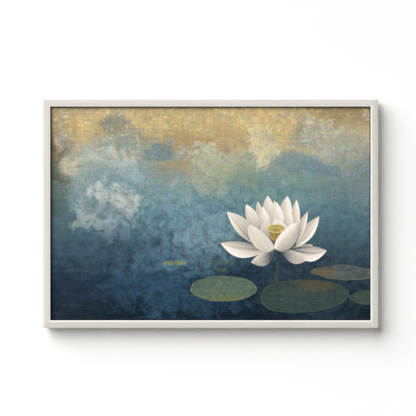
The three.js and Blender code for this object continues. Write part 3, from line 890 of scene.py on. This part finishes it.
# %% [markdown]
# ## The seed pod and the stem
#
# The pod is a shallow golden cup seen a little from above: a tapering body, and a flat oval top with a
# bright rim and a ring of seeds. Oval things, such as this top and the lily pads, are all drawn by one
# helper: rings of points that run out from a heart to an outline.

# %% Helper: a raised oval of paint
def paint_oval(name, centre, half, lift, rise, material, heart_at=(0, 0), power=2.0, wave=None,
               rings=14, sides=96):
    """A raised oval, in mm from the middle of the picture. rise gives its height in mm from (out, turn).

    Its rings start at heart_at, a power above 2 squares it off, and wave makes its outline uneven.
    """
    bm = bmesh.new()
    uv_layer = bm.loops.layers.uv.new("UVMap")
    limit = sight_half.x / MM - 0.3

    def outline(turn):
        c, s = math.cos(turn), math.sin(turn)
        swell = 1 + (wave(turn) if wave else 0)
        x = centre[0] + half[0] * swell * math.copysign(abs(c) ** (2 / power), c)
        y = centre[1] + half[1] * swell * math.copysign(abs(s) ** (2 / power), s)
        return Vector((min(x, limit), y))

    def raised(spot, out, turn):
        height = (lift + rise(out, turn)) * MM
        return bm.verts.new((middle.x + spot.x * MM, painted_face - height, middle.z + spot.y * MM))

    root = Vector((centre[0] + heart_at[0], centre[1] + heart_at[1]))
    turns = [math.tau * i / sides for i in range(sides)]
    layers = []
    for k in range(1, rings + 1):
        out = k / rings
        layers.append([raised(root.lerp(outline(turn), out), out, turn) for turn in turns])
    hub = raised(root, 0, 0)
    skirt = [bm.verts.new((vert.co.x, painted_face - SKIRT_GAP, vert.co.z)) for vert in layers[-1]]
    places = {}
    for k, ring in enumerate(layers):
        for i in range(sides):
            after = (i + 1) % sides
            corners = [(ring[i], i), (ring[after], i + 1)]
            inner = ([(layers[k - 1][after], i + 1), (layers[k - 1][i], i)] if k else [(hub, i + 0.5)])
            face = bm.faces.new([vert for vert, _ in corners + inner])
            heights = [(k + 1) / rings] * 2 + [k / rings] * len(inner)
            for loop, (_, place), out in zip(face.loops, corners + inner, heights):
                loop[uv_layer].uv = (place / sides, out)
    for face in bridge(bm, layers[-1], skirt) + [bm.faces.new(skirt)]:
        for loop in face.loops:
            loop[uv_layer].uv = (0.5, 1)
    return finish_piece(bm, name, [material], smooth_below=60)


# %% Materials: pod gold and stem green
def pod_gold(part, stops):
    material, tree, shader = new_material(f"Seed pod gold, {part}", Roughness=0.45)
    flat = use(tree, PICTURE_PLACE, {"Position": object_place(tree)})["Place"]
    dabs = noise(tree, flat, 260.0, 5.0, 0.65)
    uv = add(tree, "SeparateXYZ", {0: add(tree, "UVMap", uv_map="UVMap").outputs[0]}).outputs
    rim = step(tree, uv["Y"], 0.80, 0.94)
    tone = calc(tree, "ADD", dabs, calc(tree, "MULTIPLY", rim, 0.22))
    plug(tree, ramp(tree, tone, stops), shader["Base Color"])
    plug(tree, bump(tree, dabs, 0.6, 0.0008), shader["Normal"])
    return material


def stem_green():
    material, tree, shader = new_material("Stem green", Roughness=0.55)
    flat = use(tree, PICTURE_PLACE, {"Position": object_place(tree)})
    strands = noise(tree, stretched(tree, flat["Place"], (260, 16, 1)), 1.0, 3.0)
    sink = step(tree, flat["Height"], 0.20, 0.31)
    fibres = ramp(tree, strands, [(0.35, "1f2b2e"), (0.65, "3c4d3a")])
    plug(tree, mix(tree, sink, fibres, ramp(tree, strands, [(0.4, "182832"), (0.7, "263c48")])),
         shader["Base Color"])
    plug(tree, bump(tree, strands, 0.3, 0.0005), shader["Normal"])
    return material


POD_TOP = pod_gold("top", [(0.3, "7d6a36"), (0.45, "b59c55"), (0.6, "d0ba74"), (0.8, "e9dca4")])
POD_SIDE = pod_gold("side", [(0.3, "66552a"), (0.5, "9c8445"), (0.8, "c2a860")])
STEM_GREEN = stem_green()

# %% Paint the pod
POD_HALF = (26.5, 12.5)
pod_centre = (heart_mm[0] + 5, heart_mm[1] + 59)


def pod_body_wave(turn):
    """Pulls the lower half of the oval down into a cone."""
    return 1.3 * max(0, -math.sin(turn)) ** 6


def pod_top_rise(out, turn):
    """A dished face with a ring of seeds and a raised rim."""
    seeds = max(0, math.cos(9 * turn)) ** 3 * math.exp(-((out - 0.58) / 0.14) ** 2)
    middle_seed = math.exp(-(out / 0.16) ** 2)
    return 0.5 * smooth_step(0.72, 0.9, out) + 0.55 * seeds + 0.45 * middle_seed


pod_body = paint_oval("lotus_pod_body", (pod_centre[0] - 1, pod_centre[1] - 6), (23.5, 12), 1.5,
                      lambda out, turn: 0.5 * (1 - out * out), POD_SIDE, wave=pod_body_wave)
pod_top = paint_oval("lotus_pod_top", pod_centre, POD_HALF, 1.9, pod_top_rise, POD_TOP)


# %% Paint the stem
STEM_LENGTH = 92 * MM
STEM_STEPS = 24


def stem():
    """A half-round stalk that narrows and thins on its way down to the pad."""
    bm = bmesh.new()
    rings = []
    for k in range(STEM_STEPS + 1):
        down = k / STEM_STEPS
        x = heart.x + (11 - 2.5 * down) * MM
        z = heart.z - 4 * MM - STEM_LENGTH * down
        half = (6.2 - 1.6 * down) * MM
        rise = (0.55 - 0.45 * down) * MM
        ring = []
        for a in (math.pi * i / 8 for i in range(9)):
            height = rise * max(0.04, math.sin(a))
            ring.append(bm.verts.new((x + half * math.cos(a), painted_face - height, z)))
        rings.append(ring)
    for first, second in zip(rings, rings[1:]):
        bridge(bm, first, second)
    bm.faces.new(rings[0])
    bm.faces.new(rings[-1])
    return finish_piece(bm, "lotus_stem", [STEM_GREEN])


stem_piece = stem()
print("pod and stem:", pod_body.name, pod_top.name, stem_piece.name)

# %% [markdown]
# ## The lily pads
#
# A pad is a round leaf seen almost edge-on. Its veins run from the point where its stalk joins it, and
# its rim turns up and catches the light. Each pad has its own colours, so the material is made by a
# function that takes them. The veins come from the pad's own UV map, where U goes round the pad and V
# goes from its heart to its rim.

# %% Material: lily pad paint
def pad_paint(name, deep, mid, rim, vein, tint, tint_at, veins=19):
    material, tree, shader = new_material(f"Lily pad paint, {name}", Roughness=0.58)
    uv = add(tree, "SeparateXYZ", {0: add(tree, "UVMap", uv_map="UVMap").outputs[0]}).outputs
    flat = use(tree, PICTURE_PLACE, {"Position": object_place(tree)})["Place"]
    dabs = noise(tree, flat, 60.0, 6.0, 0.65)
    threads = noise(tree, stretched(tree, flat, (18, 240, 1)), 1.0, 3.0)
    tone = calc(tree, "MULTIPLY_ADD", threads, 0.4, calc(tree, "MULTIPLY", dabs, 0.6))
    ground = ramp(tree, tone, [(0.35, deep), (0.62, mid)])
    stained = use(tree, RAGGED_PATCH, {
        "Place": flat, "Centre": (tint_at[0] * MM, tint_at[1] * MM, 0),
        "Half size": (tint_at[2] * MM, tint_at[3] * MM, 1), "Break-up": dabs, "Raggedness": 2.0})
    ground = mix(tree, calc(tree, "MULTIPLY", stained["Mask"], 0.7), ground, colour(tint))
    wander = calc(tree, "MULTIPLY_ADD", dabs, 0.05, uv["X"])
    wave = calc(tree, "ABSOLUTE", calc(tree, "SINE", calc(tree, "MULTIPLY", wander, math.pi * veins)))
    thin = calc(tree, "MULTIPLY", uv["Y"], 0.16)
    line = calc(tree, "MULTIPLY", step(tree, calc(tree, "SUBTRACT", wave, 0.86), 0.0, 0.13),
                step(tree, uv["Y"], 1.0, 0.25))
    line = calc(tree, "SUBTRACT", line, thin)
    ground = mix(tree, calc(tree, "MULTIPLY", line, 0.38), ground, colour(vein))
    edge = step(tree, calc(tree, "MULTIPLY_ADD", dabs, 0.10, uv["Y"]), 0.99, 1.04)
    ground = mix(tree, calc(tree, "MULTIPLY", edge, 0.55), ground, colour(rim))
    plug(tree, ground, shader["Base Color"])
    height = calc(tree, "MULTIPLY_ADD", line, 0.4, dabs)
    plug(tree, bump(tree, height, 0.4, 0.0008), shader["Normal"])
    return material


def uneven(seed, size, lobes=(3, 5, 8, 13)):
    """A gentle, repeatable waviness for an outline."""
    draw = random.Random(seed)
    waves = [(n, draw.uniform(0, math.tau), size * draw.uniform(0.4, 1) / (i + 1))
             for i, n in enumerate(lobes)]
    return lambda turn: sum(amount * math.sin(n * turn + start) for n, start, amount in waves)


def turned_up(out, turn):
    return 0.35 * smooth_step(0.82, 1, out) + 0.12 * abs(math.sin(9.5 * turn)) * (1 - out)


# %% Paint the lily pads
PAD_LEFT = pad_paint("left", "3a4e46", "5e725f", "707d5f", "8c9b84", "666d45", (45, -245, 75, 12))
PAD_MIDDLE = pad_paint("middle", "1b2a2b", "324740", "414f3f", "4e6b6b", "514b30", (300, -205, 60, 16))
PAD_FAR = pad_paint("far right", "303d3f", "55625d", "7c6d47", "6b766f", "675838", (322, -168, 34, 16), 7)
PAD_NEAR = pad_paint("near right", "1d2f2e", "3a5042", "4f5d46", "496662", "424c31", (430, -262, 40, 8), 11)


def skewed(size, lean, seed, roughness):
    """An oval drawn out along one slanting direction, with an uneven edge on top of that."""
    edge = uneven(seed, roughness)
    return lambda turn: size * math.cos(2 * (turn - math.radians(lean))) + edge(turn)


pads = [
    paint_oval("lily_pad_left", (37, -215), (93, 35.5), 0.15, turned_up, PAD_LEFT, (-5, -3), 2.3,
               uneven(3, 0.03, (4, 7, 11, 16))),
    paint_oval("lily_pad_middle", (264, -236), (122, 48.5), 0.15, turned_up, PAD_MIDDLE, (-10, 1), 2.2,
               skewed(0.06, -150, 8, 0.03)),
    paint_oval("lily_pad_far_right", (384, -169), (94, 23), 0.15, turned_up, PAD_FAR, (-10, 4), 1.6,
               uneven(11, 0.10, (2, 5, 9, 17))),
    paint_oval("lily_pad_near_right", (452, -240), (54, 21), 0.15, turned_up, PAD_NEAR, (-12, 0), 2.0,
               uneven(5, 0.03)),
]
print("lily pads:", len(pads))

# %% [markdown]
# ## The back of the canvas
#
# From behind, the turned-over cloth is held by wire staples, and at each corner the spare cloth is
# folded into a flat pleat. Staples go in by hand, so no two are quite level.

# %% Materials: zinc and brass
def plated(name, dark, light, low, high):
    material, tree, shader = new_material(name, Metallic=1.0)
    place = object_place(tree)
    cloudy = use(tree, HANDLING, {"Place": place, "Patches per metre": 220.0, "Low": low, "High": high})
    plug(tree, cloudy["Value"], shader["Roughness"])
    tarnish = noise(tree, place, 300.0, 5.0)
    plug(tree, ramp(tree, tarnish, [(0.35, dark), (0.65, light)]), shader["Base Color"])
    softened = add(tree, "Bevel", {"Radius": 0.0002}, samples=4).outputs[0]
    plug(tree, bump(tree, tarnish, 0.15, 0.0002, softened), shader["Normal"])
    return material


ZINC = plated("Zinc plate", "8e9294", "c3c6c8", 0.28, 0.45)
BRASS = plated("Brass plate", "a8823f", "d3b269", 0.2, 0.38)

# %% Drive the staples
STAPLE_WIDTH = 10 * MM
STAPLE_WIRE = 0.7 * MM
STAPLE_FROM_EDGE = 18 * MM
STAPLE_EVERY = 52 * MM
CLEAR_OF_CORNER = 40 * MM


def staple_spots(half, draw):
    """Places along a side, spaced about evenly and clear of the corners."""
    row = 2 * (half - CLEAR_OF_CORNER)
    count = round(row / STAPLE_EVERY)
    return [-row / 2 + row * k / count + draw.uniform(-4, 4) * MM for k in range(count + 1)]


def one_staple(bm, x, z, turn):
    """A rounded crown of wire with two short legs going into the wood."""
    half, corner = STAPLE_WIDTH / 2, 0.5 * MM
    foot, bend, crown = -1.2 * MM, 0.1 * MM, 0.45 * MM
    path = [(-half, foot), (-half, bend), (corner - half, crown),
            (half - corner, crown), (half, bend), (half, foot)]
    rings = []
    for i, (run, out) in enumerate(path):
        before, after = Vector(path[max(i - 1, 0)]), Vector(path[min(i + 1, len(path) - 1)])
        way = (after - before).normalized()
        ring = []
        for a in (math.tau * k / 8 for k in range(8)):
            side, up = STAPLE_WIRE / 2 * math.cos(a), STAPLE_WIRE / 2 * math.sin(a)
            r, o = run - way.y * up, out + way.x * up
            ring.append(bm.verts.new((x + r * math.cos(turn) - side * math.sin(turn), cloth_back + o,
                                      z + r * math.sin(turn) + side * math.cos(turn))))
        rings.append(ring)
    for first, second in zip(rings, rings[1:]):
        bridge(bm, first, second)
    bm.faces.new(rings[0])
    bm.faces.new(rings[-1])


def staples():
    draw = random.Random(21)
    bm = bmesh.new()
    reach_x, reach_z = cloth_half.x - STAPLE_FROM_EDGE, cloth_half.z - STAPLE_FROM_EDGE
    for sign in (-1, 1):
        for x in staple_spots(cloth_half.x, draw):
            one_staple(bm, x, middle.z + sign * reach_z, math.radians(draw.gauss(0, 6)))
        for z in staple_spots(cloth_half.z, draw):
            one_staple(bm, sign * reach_x, middle.z + z, math.radians(90 + draw.gauss(0, 6)))
    return finish_piece(bm, "canvas_staples", [ZINC], smooth_below=50)


staple_piece = staples()
print("staple faces:", len(staple_piece.data.polygons))


# %% Fold the corners
def corner_fold(name, sx, sz):
    """The pleat at one corner: a flat triangle of doubled cloth with a soft folded edge."""
    bm = bmesh.new()
    corner = Vector((sx * (cloth_half.x - 1.2 * MM), sz * (cloth_half.z - 1.2 * MM)))
    reach = TURN_OVER + 6 * MM
    tip = 0.96 * TURN_OVER
    outline = rounded([(0, 0, 0.5 * MM), (reach, 0, 1.5 * MM), (tip, tip, 2 * MM)])
    centre = sum(outline, Vector((0, 0))) / len(outline)
    rings = []
    for shrink, height in ((0, 0.05), (0, 0.5), (1 / 32, 0.75)):
        spots = [point.lerp(centre, shrink) for point in outline]
        rings.append([bm.verts.new((corner.x - sx * spot.x, cloth_back + height * MM,
                                    middle.z + corner.y - sz * spot.y)) for spot in spots])
    for first, second in zip(rings, rings[1:]):
        bridge(bm, first, second)
    bm.faces.new(rings[0])
    bm.faces.new(rings[-1])
    return finish_piece(bm, name, [PRIMED_COTTON], smooth_below=40)


folds = [corner_fold(f"canvas_fold_{level}_{side}", sx, sz)
         for level, sz in (("top", 1), ("bottom", -1)) for side, sx in (("left", -1), ("right", 1))]
print("corner folds:", len(folds))

# %% [markdown]
# ## Finishes for the pieces that keep their own shape
#
# The stretcher, brace, keys, clips, screws, hangers and bumpers already have the right shape. They only
# need a surface: bare pine with its grain along each bar, closer-grained beech for the keys, zinc for
# the fixings, brass for the hangers and rubber for the bumpers.

# %% Give the carried-over pieces their finishes
def rubber():
    material, tree, shader = new_material("Black rubber", **{"Specular IOR Level": 0.3})
    place = object_place(tree)
    dust = use(tree, HANDLING, {"Place": place, "Patches per metre": 160.0, "Low": 0.65, "High": 0.9})
    plug(tree, dust["Value"], shader["Roughness"])
    plug(tree, ramp(tree, noise(tree, place, 200.0, 5.0), [(0.35, "1c1c1c"), (0.7, "34332f")]),
         shader["Base Color"])
    return material


BEECH_TONES = [(0.2, "a9763f"), (0.5, "c4935c"), (0.8, "d4a872")]
BEECH = bare_wood("Bare beech", "X", BEECH_TONES, 0.003)
RUBBER = rubber()
FINISHES = {
    "stretcher_bar_top": BARE_PINE["X"], "stretcher_bar_bottom": BARE_PINE["X"],
    "stretcher_bar": BARE_PINE["Z"], "centre_brace": BARE_PINE["Z"], "corner_key": BEECH,
    "corner_nail": ZINC, "offset_clip": ZINC, "clip_screw": ZINC, "brace_screw": ZINC,
    "hanger_strap": BRASS, "hanging_ring": BRASS, "strap_screw": BRASS, "bumper": RUBBER}


def finish_for(name):
    fitting = [start for start in FINISHES if name.startswith(start)]
    return FINISHES[max(fitting, key=len)] if fitting else None


finished = 0
for name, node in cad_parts.items():
    finish = finish_for(name)
    if finish and not node.hide_render:
        for slot in node.material_slots:
            slot.material = finish
        finished += 1
print("carried-over pieces finished:", finished)

# %% [markdown]
# ## The wall, the light and the camera
#
# The picture hangs on a plain white wall. One very large soft light from the upper left throws the wide
# soft shadow to the lower right, and a low even light from all round keeps that shadow from going black.
# The wall is see-through from behind, so that the back of the picture can be looked at too. It casts
# no shadow either, so that a second soft light can reach that side. A trace of glow in its paint keeps
# it as white as a studio wall.

# %% Stage: wall and floor
def plane(name, corners, material):
    mesh = bpy.data.meshes.new(name)
    mesh.from_pydata(corners, [], [range(len(corners))])
    mesh.materials.append(material)
    made = bpy.data.objects.new(name, mesh)
    bpy.context.scene.collection.objects.link(made)
    return made


def wall_paint():
    material, tree, shader = new_material("Wall, see-through from behind", Roughness=0.9)
    shader["Base Color"].default_value = colour("f9f9f9")
    shader["Emission Color"].default_value = (1, 1, 1, 1)
    shader["Emission Strength"].default_value = 0.03
    surface = next(node for node in tree.nodes if node.type == "OUTPUT_MATERIAL").inputs["Surface"]
    front = surface.links[0].from_socket
    behind = add(tree, "NewGeometry").outputs["Backfacing"]
    clear = add(tree, "BsdfTransparent").outputs[0]
    plug(tree, add(tree, "MixShader", {0: behind, 1: front, 2: clear}).outputs[0], surface)
    return material


WALL_HALF = 2.2
FLOOR_Z = -3.4
FLOOR_REACH = 2
WALL_TOP = 1.6
wall_y = 0.5 * MM
wall = plane("wall", [(-WALL_HALF, wall_y, FLOOR_Z), (WALL_HALF, wall_y, FLOOR_Z),
                      (WALL_HALF, wall_y, WALL_TOP), (-WALL_HALF, wall_y, WALL_TOP)], wall_paint())
floor_paint, _, floor_inputs = new_material("Pale floor", Roughness=0.8)
floor_inputs["Base Color"].default_value = colour("e6e4e0")
plane("floor", [(-WALL_HALF, -FLOOR_REACH, FLOOR_Z), (WALL_HALF, -FLOOR_REACH, FLOOR_Z),
                (WALL_HALF, FLOOR_REACH, FLOOR_Z), (-WALL_HALF, FLOOR_REACH, FLOOR_Z)], floor_paint)
print("wall normal:", tuple(wall.data.polygons[0].normal))


# %% Light
def soft_light(name, place, size, power):
    """A large square light that points at the picture."""
    data = bpy.data.lights.new(name, "AREA")
    data.shape = "SQUARE"
    data.size = size
    data.energy = power
    made = bpy.data.objects.new(name, data)
    made.location = place
    made.rotation_euler = (middle - made.location).to_track_quat("-Z", "Y").to_euler()
    made.visible_camera = False
    bpy.context.scene.collection.objects.link(made)
    return made


key = soft_light("window light", place=Vector((-26, -25, 27)), size=46.0, power=44500)
rear = soft_light("light behind the wall", place=Vector((2.4, 3.6, 2.4)), size=4.5, power=190)
wall.visible_shadow = False
world = bpy.data.worlds.new("Studio")
world.use_nodes = True
background = world.node_tree.nodes["Background"]
background.inputs["Color"].default_value = (1, 1, 1, 1)
background.inputs["Strength"].default_value = 0.06
bpy.context.scene.world = world
bpy.context.scene.view_settings.view_transform = "Standard"
print("lights:", key.name, rear.name)

# %% Camera
FIELD = 1.1863
LENS = 100
SENSOR = 36
CAMERA_LEFT = 7.2 * MM
CAMERA_ABOVE = 15.6 * MM
camera_data = bpy.data.cameras.new("camera")
camera_data.lens = LENS
camera_data.sensor_width = SENSOR
camera = bpy.data.objects.new("camera", camera_data)
distance = FIELD * LENS / SENSOR
camera.location = (middle.x - CAMERA_LEFT, rail_low.y - distance, middle.z + CAMERA_ABOVE)
camera.rotation_euler = (math.radians(90), 0, 0)
bpy.context.scene.collection.objects.link(camera)
bpy.context.scene.camera = camera
print("camera distance, m:", round(distance, 3))
